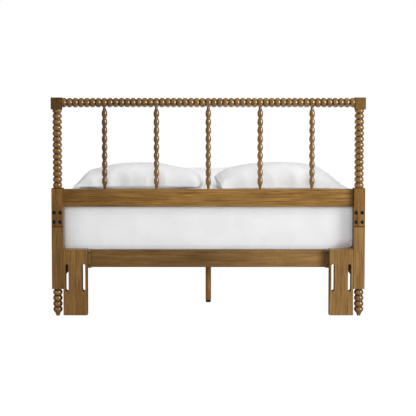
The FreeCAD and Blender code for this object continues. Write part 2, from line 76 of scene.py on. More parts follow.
# %% [markdown]
# ## Node helpers
# A material is a small graph, and so is the light of the surroundings. These helpers add a node,
# set its inputs and join sockets, so that each finish below reads as a list of steps instead of a
# page of plumbing.


# %% Node helpers
class Graph:
    """A node tree with short ways to add nodes and to join them."""

    def __init__(self, tree):
        self.tree = tree

    def add(self, kind, inputs=None, **settings):
        """Adds a node; inputs maps a socket's name or number to a value or to another socket."""
        node = self.tree.nodes.new(kind)
        for key, value in settings.items():
            setattr(node, key, value)
        for key, value in (inputs or {}).items():
            self.feed(node.inputs[key], value)
        return node

    def feed(self, socket, value):
        """Sets a socket to a constant, or joins it to another socket."""
        if isinstance(value, bpy.types.NodeSocket):
            self.tree.links.new(value, socket)
        else:
            socket.default_value = value

    def math(self, operation, first, second=0.0):
        """The sum, difference or product of two values, or the larger of them."""
        return self.add("ShaderNodeMath", {0: first, 1: second}, operation=operation).outputs[0]

    def blend(self, factor, first, second):
        """The first shader where the factor is 0, the second where it is 1."""
        return self.add("ShaderNodeMixShader", {0: factor, 1: first, 2: second}).outputs[0]


class Finish(Graph):
    """A material's graph around its Principled shader."""

    def __init__(self, name):
        self.material = bpy.data.materials.new(name)
        self.material.use_nodes = True
        super().__init__(self.material.node_tree)
        self.shader = self.tree.nodes["Principled BSDF"]

    def set(self, **inputs):
        """Feeds the shader's own sockets, with underscores for spaces."""
        for key, value in inputs.items():
            self.feed(self.shader.inputs[key.replace("_", " ")], value)

    def place(self, scale=(1, 1, 1), shift=(0, 0, 0)):
        """The object's own coordinates, stretched by a scale along each axis and shifted."""
        own = self.add("ShaderNodeTexCoord").outputs["Object"]
        return self.add("ShaderNodeMapping", {"Vector": own, "Scale": scale, "Location": shift}).outputs[0]

    def noise(self, vector, scale, detail=2.0, distortion=0.0):
        """Smooth random values about one half, with a number of cells per metre."""
        inputs = {"Vector": vector, "Scale": scale, "Detail": detail, "Distortion": distortion}
        return self.add("ShaderNodeTexNoise", inputs).outputs[0]

    def waves(self, vector, thread, **inputs):
        """Two sets of sine waves across each other, as fine as the thread is thin."""
        inputs = {"Vector": vector, "Scale": 1 / (2 * thread), **inputs}
        return [self.add("ShaderNodeTexWave", inputs, bands_direction=axis).outputs["Fac"] for axis in "XY"]

    def span(self, value, low, high, to_low=0.0, to_high=1.0):
        """An eased step: to_low below the low value, to_high above the high one."""
        inputs = {0: value, 1: low, 2: high, 3: to_low, 4: to_high}
        return self.add("ShaderNodeMapRange", inputs, interpolation_type="SMOOTHSTEP").outputs[0]

    def ramp(self, value, stops):
        """A colour for each value, in between the stops' places and colours."""
        node = self.add("ShaderNodeValToRGB", {0: value})
        elements = node.color_ramp.elements
        while len(elements) < len(stops):
            elements.new(0.5)
        for element, (place, colour) in zip(elements, stops):
            element.position = place
            element.color = (*colour, 1)
        return node.outputs[0]

    def mix(self, factor, first, second, blend="MIX"):
        """Two colours mixed by a factor; each is a socket or three numbers."""
        node = self.add("ShaderNodeMix", data_type="RGBA", blend_type=blend)
        sockets = node.inputs[0], node.inputs[6], node.inputs[7]
        for socket, value in zip(sockets, (factor, first, second)):
            self.feed(socket, (*value, 1) if isinstance(value, tuple) else value)
        return node.outputs[2]

    def bump(self, height, distance, strength):
        """A leaned normal, from a height and the real depth that a height of one stands for."""
        inputs = {"Height": height, "Distance": distance, "Strength": strength}
        return self.add("ShaderNodeBump", inputs).outputs[0]


# %% [markdown]
# ## Floor and light
# The picture has a plain white ground. White is given only to the rays that come straight from
# the lens, through Light Path, so the bed is lit by lamps at a plain level and not by a glowing
# room. Mirrored rays find a dark room, which keeps the gloss of the wood deep. The floor keeps a
# trace of the bed's shadow.


# %% Floor
def by_ray(graph, plain, dark, white):
    """White for rays straight from the lens, dark for mirrored rays, plain for the rest."""
    path = graph.add("ShaderNodeLightPath").outputs
    seen = graph.math("MAXIMUM", path["Is Camera Ray"], path["Is Transmission Ray"])
    return graph.blend(seen, graph.blend(path["Is Glossy Ray"], plain, dark), white)


floor_reach = 20.0
floor_shadow_share = 0.12
floor_glow = 1.13
floor_finish = Finish("floor_white")
floor_finish.set(Base_Color=(0.45, 0.45, 0.45, 1), Roughness=0.9)
pale = floor_finish.shader.outputs[0]
glow = floor_finish.add("ShaderNodeEmission", {"Color": (1, 1, 1, 1), "Strength": floor_glow}).outputs[0]
white = floor_finish.blend(floor_shadow_share, glow, pale)
dark = floor_finish.add("ShaderNodeBsdfDiffuse", {"Color": (0.06, 0.05, 0.04, 1)}).outputs[0]
output = floor_finish.tree.nodes["Material Output"]
floor_finish.feed(output.inputs["Surface"], by_ray(floor_finish, pale, dark, white))

corners = np.array([(-1, -1, 0), (1, -1, 0), (1, 1, 0), (-1, 1, 0)], float) * floor_reach
floor_mesh = bpy.data.meshes.new("floor")
floor_mesh.from_pydata(corners.tolist(), [], [(0, 1, 2, 3)])
floor_mesh.materials.append(floor_finish.material)
floor = bpy.data.objects.new("floor", floor_mesh)
scene.collection.objects.link(floor)
print("floor reaches", floor_reach, "m each way")

# %% World
world_tint = (0.97, 0.98, 1.0, 1)
ambient_strength = 0.37
mirrored_strength = 0.05
scene.world = bpy.data.worlds.new("studio")
scene.world.use_nodes = True
sky = Graph(scene.world.node_tree)
ambient = sky.tree.nodes["Background"]
sky.feed(ambient.inputs["Color"], world_tint)
sky.feed(ambient.inputs["Strength"], ambient_strength)
dim = sky.add("ShaderNodeBackground", {"Color": world_tint, "Strength": mirrored_strength})
backdrop = sky.add("ShaderNodeBackground", {"Color": (1, 1, 1, 1)})
surface = by_ray(sky, ambient.outputs[0], dim.outputs[0], backdrop.outputs[0])
sky.feed(sky.tree.nodes["World Output"].inputs["Surface"], surface)
print("world with", len(sky.tree.nodes), "nodes")

# %% [markdown]
# The main lamp is large and stands on the right at twice the height of the headboard. It puts a
# highlight on the right of every bead. A broad lamp behind the lens and one above the bed only
# fill the shadows, so mirrored rays don't see them.


# %% Lamps
def soft_lamp(name, place, target, size, power):
    """An oblong area lamp at a place, turned towards a target."""
    data = bpy.data.lights.new(name, "AREA")
    data.shape = "RECTANGLE"
    data.size, data.size_y = size
    data.energy = power
    lamp = bpy.data.objects.new(name, data)
    lamp.location = place
    direction = Vector([aim - at for aim, at in zip(target, place)])
    lamp.rotation_euler = direction.to_track_quat("-Z", "Y").to_euler()
    scene.collection.objects.link(lamp)
    return lamp


soft_lamp("key_lamp", place=(5.0, -4.55, 2.3), target=(0.0, -1.05, 0.7), size=(2.6, 3.6), power=186)
fill_lamps = (
    soft_lamp("front_lamp", place=(0.2, -7.6, 1.7), target=(0.0, -1.0, 0.6), size=(4.0, 2.2), power=218),
    soft_lamp("top_lamp", place=(0.6, -0.7, 4.6), target=(0.0, -0.6, 0.0), size=(3.0, 3.0), power=102),
)
for lamp in fill_lamps:
    lamp.visible_glossy = False
scene.view_settings.view_transform = "Standard"
print("three soft lamps")

# %% [markdown]
# ## Stained wood
# The wood is a straight-grained timber under a honey-brown stain and a satin coat. Grain is noise
# that is stretched along the length of the board: wide soft bands, then fine fibres, then short
# dark pores. Posts, rails and side rails run along different axes, so the finish is made once per
# axis. A painted falloff of light makes most of the wood darker towards the left of the bed and
# lighter and paler towards the right, as if lit by the main lamp there. A mark darkens a short
# stretch, such as the line of a lap joint, and a painted end shadow darkens a rail towards its end,
# as the shade of the piece beside it. On turned pieces a "groove" value on each point says how deep
# in a groove it lies, and the wood darkens there: partly stain that gathers in the grooves, partly
# painted shade in the necks.


# %% Stain colours
def tinted(colours, green_share, blue_share):
    """The same colours, with their green and blue parts multiplied by shares."""
    return tuple((red, green_share * green, blue_share * blue) for red, green, blue in colours)


def scaled(colour, share):
    """A colour with each of its parts multiplied by a share."""
    return tuple(share * part for part in colour)


stain_colours = ((0.128, 0.055, 0.010), (0.260, 0.128, 0.022), (0.382, 0.205, 0.046))
plain_colours = ((0.46, 0.30, 0.155), (0.60, 0.425, 0.25), (0.70, 0.53, 0.34))
greyed_colours = tinted(stain_colours, 1.06, 1.5)
cleat_colours = tinted(greyed_colours, 1.08, 1.2)
groove_colour = (0.030, 0.012, 0.004)
painted_shade_tint = (1.0, 0.97, 1.06)
painted_sheen_tint = (1.0, 1.03, 1.26)
print("stains from", stain_colours[0], "to", stain_colours[-1])

# %% Wood grain
noise_span = (0.3, 0.7)
pore_span = (0.60, 0.70)
blotch_shares = (0.86, 1.12)
mark_edge = 0.001
mark_reach = 0.6


def wood_grain(finish, axis, shift):
    """Four noises, each stretched along the grain: bands, fibres, pores and blotches."""

    def grain(stretch, scale, detail, distortion=0.0):
        stretched = [1 / stretch if name == axis else 1.0 for name in "XYZ"]
        return finish.noise(finish.place(stretched, (shift, shift, shift)), scale, detail, distortion)

    bands = grain(stretch=18, scale=90, detail=5, distortion=1.0)
    fibres = grain(stretch=36, scale=260, detail=4)
    pores = finish.span(grain(stretch=22, scale=900, detail=1), *pore_span)
    blotches = grain(stretch=4, scale=11, detail=3, distortion=0.6)
    return bands, fibres, pores, blotches


def wood_shade(finish, place, blotches, depth, marks, painted_end_shadow):
    """A grey to multiply with: blotches, then darker inside each mark and towards a painted end shadow."""
    darkest, lightest = blotch_shares
    shade = finish.span(blotches, *noise_span, darkest * depth, lightest * depth)
    for across, low, high, left_share, right_share in marks:
        begun = finish.span(place[across], low - mark_edge, low)
        ended = finish.span(place[across], high, high + mark_edge, 1.0, 0.0)
        inside = finish.math("MULTIPLY", begun, ended)
        share = finish.span(place[0], -mark_reach, mark_reach, left_share, right_share)
        shade = finish.math("MULTIPLY", shade, finish.span(inside, 0.0, 1.0, 1.0, share))
    # Painted shadow: darker towards the end of the piece, as the shade of the piece beside it.
    if painted_end_shadow:
        start, end, share = painted_end_shadow
        shade = finish.math("MULTIPLY", shade, finish.span(place[0], start, end, 1.0, share))
    return finish.add("ShaderNodeCombineColor", {0: shade, 1: shade, 2: shade}).outputs[0]


# %% Wood finish
band_share = 0.45
pore_share = 0.40
pore_depth_share = 0.7
groove_span = (0.15, 0.92)
groove_share = 0.95
satin = (0.36, 0.48)
bare_gloss = 0.25
# Painted light: wood darker towards the left end of the bed, as if the main lamp lit it from the right.
soft_painted_falloff = (-0.7, 0.0, 0.64, 1.0)


def wood_finish(name, axis, colours=stain_colours, coat=0.15, depth=1.0, painted_falloff=soft_painted_falloff,
                shift=0.0, marks=(), painted_end_shadow=None, grooved=False, spread=0.16):
    """Bands and fibres pick a colour between three; shade, painted falloff, pores and grooves darken it."""
    finish = Finish(name)
    bands, fibres, pores, blotches = wood_grain(finish, axis, shift)
    wide, fine = (finish.math("MULTIPLY", part, share)
                  for part, share in ((bands, band_share), (fibres, 1 - band_share)))
    dark, middle, light = colours
    stops = ((0.5 - spread, dark), (0.5, middle), (0.5 + spread, light))
    colour = finish.ramp(finish.math("ADD", wide, fine), stops)
    place = finish.add("ShaderNodeSeparateXYZ", {0: finish.place()}).outputs
    shade = wood_shade(finish, place, blotches, depth, marks, painted_end_shadow)
    colour = finish.mix(1.0, colour, shade, "MULTIPLY")
    # Painted light: the colour is darker towards the left and lighter and paler towards the right.
    start, end, painted_shade_share, painted_sheen_share = painted_falloff
    shaded_end, pale = scaled(painted_shade_tint, painted_shade_share), scaled(painted_sheen_tint, painted_sheen_share)
    leaned = finish.mix(finish.span(place[0], start, end), shaded_end, pale)
    colour = finish.mix(1.0, colour, leaned, "MULTIPLY")
    colour = finish.mix(finish.math("MULTIPLY", pores, pore_share), colour, groove_colour)
    # The groove colour in the necks is partly stain gathered in the grooves, partly painted shade.
    if grooved:
        groove = finish.add("ShaderNodeAttribute", attribute_name="groove").outputs["Fac"]
        colour = finish.mix(finish.span(groove, *groove_span, 0.0, groove_share), colour, groove_colour)
    relief = finish.math("SUBTRACT", fibres, finish.math("MULTIPLY", pores, pore_depth_share))
    finish.set(
        Base_Color=colour,
        Roughness=finish.span(fibres, *noise_span, *satin),
        Normal=finish.bump(relief, distance=0.0002, strength=0.35),
        Coat_Weight=coat,
        Coat_Roughness=0.18,
        Coat_IOR=2.2,
        Specular_IOR_Level=bare_gloss * (1 + coat),
    )
    return finish.material


# %% [markdown]
# A painted falloff is written as the places along X where it starts and ends, and the share of the
# colour's light that is left at both. A mark is an axis, where the mark starts and ends along it, and
# the shares left on the left and on the right of the bed. Flat wood has a thin coat. Turned wood has
# a full one, so that each bead catches the main lamp.

# %% Flat wood
level = (-1.0, 1.0, 1.0, 1.0)
# Painted light falloff for the posts: darker on the left, lighter on the right.
post_painted_falloff = (-0.6, 0.6, 0.70, 0.84)
# The blocks are darker wood; that they are darker on the left than on the right is painted light falloff.
block_mark = (2, 1.0932, 1.2, 0.54, 0.76)
lap_mark = (2, 0.4738, 0.4784, 0.35, 0.35)
# Painted shade on the inner face of the right post and leg, which faces away from the main lamp.
inner_face_painted_shade = (0, 0.7635, 0.7658, 0.22, 0.22)
calm_spread = 0.21
# Painted shadow of the right post on the right end of the rail.
rail_wood = wood_finish("rail_wood", "X", painted_end_shadow=(0.715, 0.768, 0.38))
side_wood = wood_finish("side_wood", "Y", painted_falloff=level, depth=0.9)
post_wood = wood_finish("post_wood", "Z", painted_falloff=post_painted_falloff, marks=(block_mark, lap_mark, inner_face_painted_shade))
leg_wood = wood_finish("leg_wood", "Z", greyed_colours, shift=3.7, depth=1.03,
                       painted_falloff=(-0.6, 0.6, 0.65, 0.96), marks=(lap_mark, inner_face_painted_shade), spread=calm_spread)
board_wood = wood_finish("board_wood", "Z", greyed_colours, shift=7.9,
                         painted_falloff=(-0.6, 0.6, 0.82, 1.06), spread=calm_spread)
# Painted shadow of the right board on the right end of the stretcher.
stretcher_wood = wood_finish("stretcher_wood", "X", greyed_colours, shift=5.3,
                             painted_falloff=(-0.15, 0.5, 0.56, 0.97), painted_end_shadow=(0.561, 0.616, 0.5), spread=calm_spread)
# Painted shade: the right cleat, in the board's shade, is painted darker than the left.
cleat_wood = wood_finish("cleat_wood", "Z", cleat_colours, shift=9.1, painted_falloff=(-0.6, 0.6, 0.53, 0.38))
plain_wood = {
    axis: wood_finish("plain_wood_" + axis.lower(), axis, plain_colours, coat=0.0, painted_falloff=level)
    for axis in "XY"
}
print("flat wood, one finish per direction of grain")

# %% Turned wood
turned_rail_wood = wood_finish("turned_rail_wood", "X", coat=1.0, depth=1.03,
                               painted_falloff=(-0.7, 0.0, 0.70, 1.0), grooved=True)
turned_spindle_wood = wood_finish("turned_spindle_wood", "Z", coat=1.0, depth=0.98, grooved=True)
turned_post_wood = wood_finish("turned_post_wood", "Z", coat=1.0, depth=1.50, painted_falloff=post_painted_falloff, grooved=True)
turned_foot_wood = wood_finish("turned_foot_wood", "Z", greyed_colours, coat=0.7, depth=0.98,
                               painted_falloff=level, grooved=True)
centre_leg_wood = wood_finish("centre_leg_wood", "Z", painted_falloff=level, depth=1.5)
print("turned wood for rail, spindles, posts, feet and centre legs")

# %% [markdown]
# ## Metal, plastic and webbing
# Plated steel gets a cloudy gloss, bolts a black oxide with a soft sheen, the glides a dull moulded
# skin, and the slat straps a plain weave of two crossing waves.


# %% Hardware finishes
cloud_share = 0.7
hollow_share = 0.72


def steel_finish(name, colour, metallic, rough):
    """Cloudy noise moves the roughness between two values, and fine noise gives a faint tooth."""
    finish = Finish(name)
    clouds = finish.noise(finish.place(), scale=60, detail=4)
    tooth = finish.noise(finish.place(), scale=1400, detail=2)
    finish.set(
        Base_Color=finish.mix(clouds, colour, scaled(colour, cloud_share)),
        Metallic=metallic,
        Roughness=finish.span(clouds, *noise_span, *rough),
        Normal=finish.bump(tooth, distance=0.00005, strength=0.4),
    )
    return finish.material


def webbing_finish(name, colour, thread):
    """The product of two crossing sine waves, one for the warp and one for the weft."""
    finish = Finish(name)
    weave = finish.math("MULTIPLY", *finish.waves(finish.place(), thread))
    finish.set(
        Base_Color=finish.mix(weave, scaled(colour, hollow_share), colour),
        Roughness=0.85,
        Normal=finish.bump(weave, distance=0.0004, strength=0.6),
    )
    return finish.material


plated_steel = steel_finish("plated_steel", (0.60, 0.60, 0.58), metallic=1.0, rough=(0.28, 0.45))
black_steel = steel_finish("black_steel", (0.030, 0.036, 0.050), metallic=0.6, rough=(0.20, 0.30))
glide_plastic = steel_finish("glide_plastic", (0.085, 0.050, 0.024), metallic=0.0, rough=(0.45, 0.60))
strap_webbing = webbing_finish("strap_webbing", (0.72, 0.70, 0.64), thread=0.0025)
print("steel, plastic and webbing")

# %% [markdown]
# ## Dressed CAD pieces
# Boards, rails, slats, straps and plates already have their real form in the CAD model, so they
# only get a finish. Each CAD node has material slots, and a finish is put into all of them.


# %% Dress the CAD nodes
def dress(material, *names):
    """Puts a material into the slots of CAD nodes."""
    for name in names:
        for slot in nodes[name].material_slots:
            slot.material = material


def pair(*names):
    """The left and the right node of each name."""
    return [name + side for name in names for side in ("_left", "_right")]


slat_count = 14
dress(post_wood, *pair("upper_post", "foot_post"))
dress(leg_wood, *pair("leg"))
dress(cleat_wood, *pair("stretcher_cleat"))
dress(board_wood, *pair("slotted_board"))
dress(rail_wood, "headboard_rail", "foot_rail")
dress(stretcher_wood, "stretcher")
dress(side_wood, *pair("side_rail"))
dress(plain_wood["X"], *["slat_%d" % (count + 1) for count in range(slat_count)])
dress(plain_wood["Y"], "centre_beam", *pair("slat_ledger"))
dress(strap_webbing, *pair("slat_strap"))
dress(black_steel, "cleat_screws")
dress(plated_steel, "rail_hook_plates", "rail_catch_plates", "beam_hanger_head", "beam_hanger_foot")
print("dressed", len(nodes), "CAD nodes")

# %% [markdown]
# ## Round turnings
# A turner holds a gouge against spinning wood, so a turning is one profile carried round an axis.
# It could be a curve with a Screw modifier, but as arrays the same profile also gives each ring its
# groove value. The bead profile is one arc of a circle per pitch, through two necks and a crest, so
# it can be worked out for a whole array of places at once.


# %% Surface helpers
def tube_faces(rings, sides, first=0):
    """Quads between neighbouring rings of points, numbered ring by ring from the first, and two caps."""
    ring = first + np.arange(rings - 1)[:, None] * sides
    side = np.arange(sides)[None, :]
    after = (side + 1) % sides
    quads = np.stack([ring + side, ring + after, ring + sides + after, ring + sides + side], axis=-1)
    caps = np.stack([first + np.arange(sides)[::-1], first + (rings - 1) * sides + np.arange(sides)])
    return quads.reshape(-1, 4).tolist() + caps.tolist()


def make_piece(name, points, faces, material, body):
    """A smooth mesh object from arrays of points and faces, riding on a body."""
    mesh = bpy.data.meshes.new(name)
    mesh.from_pydata(np.asarray(points, float).reshape(-1, 3).tolist(), [], faces)
    mesh.polygons.foreach_set("use_smooth", np.full(len(mesh.polygons), True))
    mesh.materials.append(material)
    piece = bpy.data.objects.new(name, mesh)
    scene.collection.objects.link(piece)
    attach(piece, body)
    return piece


def revolve(along, radius, centre, axis, sides):
    """Points and faces of a profile carried round the X or the Z axis through a centre."""
    angle = np.linspace(0, 2 * np.pi, sides, endpoint=False)
    circle = np.stack([np.zeros(sides), np.cos(angle), np.sin(angle)], axis=-1)
    line = np.stack([along, 0 * along, 0 * along], axis=-1)
    points = line[:, None, :] + radius[:, None, None] * circle[None, :, :]
    if axis == "Z":
        points = points[..., [1, 2, 0]]
    return points.reshape(-1, 3) + np.array(centre), tube_faces(len(along), sides)


# %% Turning helpers
ring_gap = 1e-5


def bead_radius(along, first_neck, pitch, bead, neck):
    """The arc of a circle through two necks and the crest between them, repeated at each pitch."""
    half = pitch / 2
    rise = bead - neck
    arc = (half**2 + rise**2) / (2 * rise)
    offset = (along - first_neck) % pitch - half
    return bead - arc + np.sqrt(arc**2 - offset**2)


def bead_row(low, high, first_neck, pitch, bead, neck, per_bead):
    """Places along a row of beads, in every neck and at both ends, with their radii and grooves."""
    share = np.linspace(0, 1, per_bead, endpoint=False)
    first = math.floor((low - first_neck) / pitch)
    last = math.ceil((high - first_neck) / pitch)
    along = (first_neck + (np.arange(first, last + 1)[:, None] + share[None, :]) * pitch).ravel()
    between = (along > low + ring_gap) & (along < high - ring_gap)
    along = np.concatenate([[low], along[between], [high]])
    radius = bead_radius(along, first_neck, pitch, bead, neck)
    return along, radius, (bead - radius) / (bead - neck)


def turned_piece(name, along, radius, centre, axis, sides, groove, wood):
    """A turning with its groove value, per ring or per point: 1 in the necks and 0 on the crests."""
    points, faces = revolve(along, radius, centre, axis, sides)
    piece = make_piece(name, points, faces, wood, "frame")
    values = piece.data.attributes.new("groove", "FLOAT", "POINT")
    per_point = groove.reshape(len(along), -1) * np.ones(sides)
    values.data.foreach_set("value", per_point.astype(np.float32).ravel())
    return piece


# %% [markdown]
# The top rail is a row of equal beads from block to block, with a round tenon into each block. Its
# beads are counted from the middle of the bed, so that both ends come out alike.

# %% Top rail
post_low, post_high = (np.array(corner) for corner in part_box("upper_post_right"))
post_x = (post_low[0] + post_high[0]) / 2
head_y = (post_low[1] + post_high[1]) / 2
rail_low, rail_high = (np.array(corner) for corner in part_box("top_rail"))
rail_drop = 0.0015
rail_axis = (rail_low[2] + rail_high[2]) / 2 - rail_drop
block_half = 0.0275
block_out = 0.003
bead_pitch = 0.03035
rail_bead_half = 0.0252
neck_half = 0.01625
tenon_half = 0.013
rail_sides = 40
reach = post_x + block_out - block_half
along, radius, groove = bead_row(
    -reach, reach, bead_pitch / 2, bead_pitch, rail_bead_half, neck_half, per_bead=14
)
along = np.concatenate([[rail_low[0]], along, [rail_high[0]]])
radius = np.concatenate([[tenon_half], radius, [tenon_half]])
groove = np.concatenate([[1], groove, [1]])
rail_place = (0, head_y, rail_axis)
top_rail = turned_piece(
    "spool_top_rail", along, radius, rail_place, "X", rail_sides, groove, turned_rail_wood
)
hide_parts("top_rail")
print("top rail", len(along), "rings")

# %% [markdown]
# ## Trimmed copies
# Some pieces keep their CAD form apart from a few millimetres: the blocks on the posts are slimmer,
# and the slotted boards narrower, with the cleats, their screws and the stretcher's ends following
# them. A copy of the CAD mesh is shown instead, with some of its points moved. This keeps all the
# joints and slots of the piece, which a new surface would have to repeat.


# %% Copies with moved points
def copied_points(node):
    """A copy of a CAD node's mesh, and the array of its points."""
    mesh = nodes[node].data.copy()
    points = np.empty(3 * len(mesh.vertices))
    mesh.vertices.foreach_get("co", points)
    return mesh, points.reshape(-1, 3)


def show_copy(node, mesh, points):
    """Shows a copied mesh with its changed points in place of its CAD node."""
    mesh.vertices.foreach_set("co", points.ravel())
    piece = bpy.data.objects.new("trimmed_" + node, mesh)
    scene.collection.objects.link(piece)
    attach(piece, "frame")
    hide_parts(node)


def nudged(node, low, high, out):
    """Points between two distances from the bed's middle are moved outwards."""
    mesh, points = copied_points(node)
    from_middle = np.abs(points[:, 0])
    picked = (from_middle > low) & (from_middle < high)
    points[picked, 0] += np.copysign(out, points[picked, 0])
    show_copy(node, mesh, points)


def trimmed(node, low, high, x, y, half, out=0.0):
    """Points between two heights are drawn in about (x, y) to a half width, and moved outwards."""
    mesh, points = copied_points(node)
    picked = (points[:, 2] > low) & (points[:, 2] < high)
    axis_place = np.array((x, y))
    share = half / np.abs(points[picked, 0] - x).max()
    points[picked, :2] = axis_place + share * (points[picked, :2] - axis_place)
    points[picked, 0] += math.copysign(out, x)
    show_copy(node, mesh, points)


# %% Post blocks and slotted boards
sides_x = (("left", -post_x), ("right", post_x))
block_bottom = 1.093
pick_gap = 0.0005
board_out = 0.006
board_edge = 0.642
stretcher_middle = 0.30
for side, x in sides_x:
    trimmed("upper_post_" + side, block_bottom - pick_gap, math.inf, x, head_y, block_half, block_out)
for node in pair("slotted_board", "stretcher_cleat"):
    nudged(node, 0.0, board_edge, board_out)
nudged("stretcher", stretcher_middle, post_x, board_out)
nudged("cleat_screws", 0.0, board_edge, board_out)
print("post blocks", 2 * block_half, "m wide, boards", board_out, "m narrower")

# %% [markdown]
# ## Spindles
# The five spindles have slimmer and longer beads than the rail. Each end thins to a round pin that
# goes into a bore. Their necks are shallow, so only a part of the full groove colour is put there.
# Both pins get painted shade, and the upper pin, under the top rail, gets the darker painted shadow.

# %% Spindles
spindle_count = 5
spindle_beads = 9
spindle_bead_half = 0.01475
spindle_neck_half = 0.00875
spindle_pin_half = 0.007
spindle_bottom_taper = 0.019
spindle_top_taper = 0.011
spindle_sides = 32
spindle_groove_share = 0.4
# Painted shade on the pins where they go into the rails, darker under the top rail.
bottom_pin_painted_shade = 0.3
top_pin_painted_shadow = 0.6
cross_rail_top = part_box("headboard_rail")[1][2]
rail_underside = rail_axis - rail_bead_half
low = cross_rail_top + spindle_bottom_taper
high = rail_underside - spindle_top_taper
pitch = (high - low) / spindle_beads
beads_along, beads_radius, beads_groove = bead_row(
    low, high, low, pitch, spindle_bead_half, spindle_neck_half, per_bead=18
)
pin_radius = [spindle_pin_half] * 2
radius = np.concatenate([pin_radius, beads_radius, pin_radius])
groove = np.concatenate(
    [[bottom_pin_painted_shade] * 2, spindle_groove_share * beads_groove, [top_pin_painted_shadow] * 2]
)
for count in range(spindle_count):
    node = "spindle_%d" % (count + 1)
    pin_low, pin_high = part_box(node)
    along = np.concatenate([[pin_low[2], cross_rail_top], beads_along, [rail_underside, pin_high[2]]])
    place = ((pin_low[0] + pin_high[0]) / 2, head_y, 0)
    spindle = turned_piece(
        "beaded_" + node, along, radius, place, "Z", spindle_sides, groove, turned_spindle_wood
    )
    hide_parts(node)
print(spindle_count, "spindles,", spindle_beads, "beads each")

# %% [markdown]
# ## Posts and feet
# The posts keep their square CAD parts, and a round shaft is fitted over the many-sided one. The
# feet are slimmer than in the CAD model, so there the many-sided part is drawn in to a core and the
# new foot closes round it. A foot ends in a toe, a smooth curve through a few half widths. The
# inner side of a head foot, which faces the board and the shade under the bed, gets painted shade.

# %% Post shafts
post_over = 0.00025
post_bead_half = 0.0244
post_sides = 44
turning_bottom = 0.678
shaft_along, shaft_radius, shaft_groove = bead_row(
    turning_bottom, block_bottom, turning_bottom, bead_pitch, post_bead_half, neck_half, per_bead=16
)
for side, x in sides_x:
    turned_piece("spool_post_" + side, shaft_along, shaft_radius + post_over, (x, head_y, 0), "Z",
                 post_sides, shaft_groove, turned_post_wood)
print("two posts of", len(shaft_along), "rings")


# %% Feet
def eased(share, places, heights):
    """A smooth curve through a few heights: a cubic between each two, with the mean slope at each."""
    places, heights = np.array(places), np.array(heights)
    slope = np.gradient(heights, places)
    at = np.clip(np.searchsorted(places, share, side="right") - 1, 0, len(places) - 2)
    step = places[at + 1] - places[at]
    t = (share - places[at]) / step
    start = (1 + 2 * t) * heights[at] + t * step * slope[at]
    end = (3 - 2 * t) * heights[at + 1] - (1 - t) * step * slope[at + 1]
    return (1 - t) ** 2 * start + t**2 * end


foot_top = 0.146
foot_bead_half = 0.0250
foot_neck_half = 0.0168
foot_core_half = 0.014
foot_out = 0.003
foot_sides = 40
foot_y = -head_y
toe_bottom = 0.004
toe_height = 0.0144
toe_rings = 24
toe_darkening = 0.30
toe_place_shares = (0.0, 0.13, 0.26, 0.56, 0.82, 1.0)
toe_halves = (0.0102, 0.0108, 0.0119, 0.0178, 0.0231, 0.0250)
inner_painted_shade = 0.85
inner_shade_start = 0.45
first_neck = toe_bottom + toe_height
first_crest = first_neck + bead_pitch / 2
toe_share = np.linspace(0, 1, toe_rings, endpoint=False)
toe_along = toe_bottom + (first_crest - toe_bottom) * toe_share
along, radius, groove = bead_row(
    first_crest, foot_top, first_neck, bead_pitch, foot_bead_half, foot_neck_half, per_bead=16
)
foot_along = np.concatenate([toe_along, along])
foot_radius = np.concatenate([eased(toe_share, toe_place_shares, toe_halves), radius])
# The toe is darker towards its bottom.
foot_groove = np.concatenate([toe_darkening * (1 - toe_share), groove])
angle = np.linspace(0, 2 * np.pi, foot_sides, endpoint=False)
for side, x in sides_x:
    outward = math.copysign(1, x)
    # Painted shade on the side of a head foot that faces in, towards the board.
    inner_shade_side = np.clip((-outward * np.cos(angle) - inner_shade_start) / inner_shade_start, 0, 1)
    shaded = np.maximum(foot_groove[:, None], inner_painted_shade * inner_shade_side)
    for end, node, place, groove in (
        ("head", "leg_", (x + outward * foot_out, head_y, 0), shaded),
        ("foot", "foot_post_", (x, foot_y, 0), foot_groove),
    ):
        trimmed(node + side, -math.inf, foot_top - pick_gap, x, place[1], foot_core_half)
        turned_piece("spool_foot_%s_%s" % (end, side), foot_along, foot_radius, place, "Z",
                     foot_sides, groove, turned_foot_wood)
print("four feet of", len(foot_along), "rings")

# %% [markdown]
# ## Centre legs and glides
# Under the middle of the bed stand three plain round legs. Each has a threaded glide that can be
# screwed out to meet the floor. All these round feet have an eased lower edge, a quarter of a
# circle, and the four turned feet get small glides of the same form.


# %% Centre legs and glides
def eased_bottom(half, ease):
    """A quarter of a circle from a flat underside out to a half width: heights and radii."""
    quarter = np.linspace(0, np.pi / 2, 7)
    return ease * (1 - np.cos(quarter)), half - ease * (1 - np.sin(quarter))


leg_half = 0.0155
leg_ease = 0.002
leg_sides = 40
glide_half = 0.015
glide_ease = 0.004
glide_height = 0.010
glide_sides = 36
stem_half = 0.004
centre_leg_count = 3
beam_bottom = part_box("centre_beam")[0][2]
for count in range(centre_leg_count):
    leg_node = "centre_leg_%d" % (count + 1)
    leg_low, leg_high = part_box(leg_node)
    middle = (0.0, (leg_low[1] + leg_high[1]) / 2, 0.0)
    along, radius = eased_bottom(leg_half, leg_ease)
    along = np.concatenate([leg_low[2] + along, [beam_bottom]])
    radius = np.concatenate([radius, [leg_half]])
    leg = turned_piece("round_" + leg_node, along, radius, middle, "Z", leg_sides, 0 * along, centre_leg_wood)
    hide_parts(leg_node)

    glide_node = "centre_glide_%d" % (count + 1)
    stem_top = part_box(glide_node)[1][2]
    along, radius = eased_bottom(glide_half, glide_ease)
    along = np.concatenate([along, [glide_height, glide_height, stem_top]])
    radius = np.concatenate([radius, [glide_half, stem_half, stem_half]])
    points, faces = revolve(along, radius, middle, "Z", glide_sides)
    name = "round_glide_%d" % (count + 1)
    glide = make_piece(name, points, faces, glide_plastic, glide_node)
    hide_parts(glide_node)
